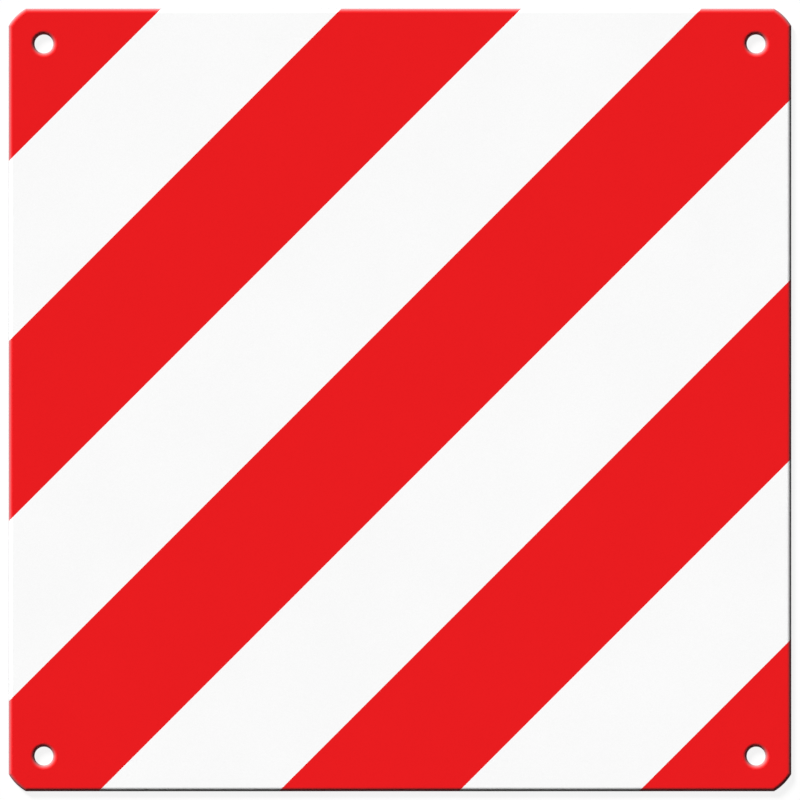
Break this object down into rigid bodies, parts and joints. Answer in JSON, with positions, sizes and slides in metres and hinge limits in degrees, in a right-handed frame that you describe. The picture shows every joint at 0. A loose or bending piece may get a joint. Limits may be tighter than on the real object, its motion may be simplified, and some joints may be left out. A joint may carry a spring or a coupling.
{
  "type": "overhanging load sign",
  "caption": "Square flat warning panel with red and white diagonal stripes, a rounded front rim, shallow corner arcs and a tie hole near each corner.",
  "frame": {"origin": "centre of the flat back, on the surface that the sign lies on", "axes": "+Z out of the striped face, +Y towards the sign's upper edge, +X towards its right edge seen from the front"},
  "size_m": [0.5, 0.5, 0.004],
  "materials": {
    "panel_plastic": "smooth white, satin gloss",
    "red_sheeting": "smooth signal red, fine beaded sheeting"
  },
  "bodies": {
    "root": {"panel": "panel_plastic", "red_stripes": "red_sheeting"}
  },
  "joints": []
}
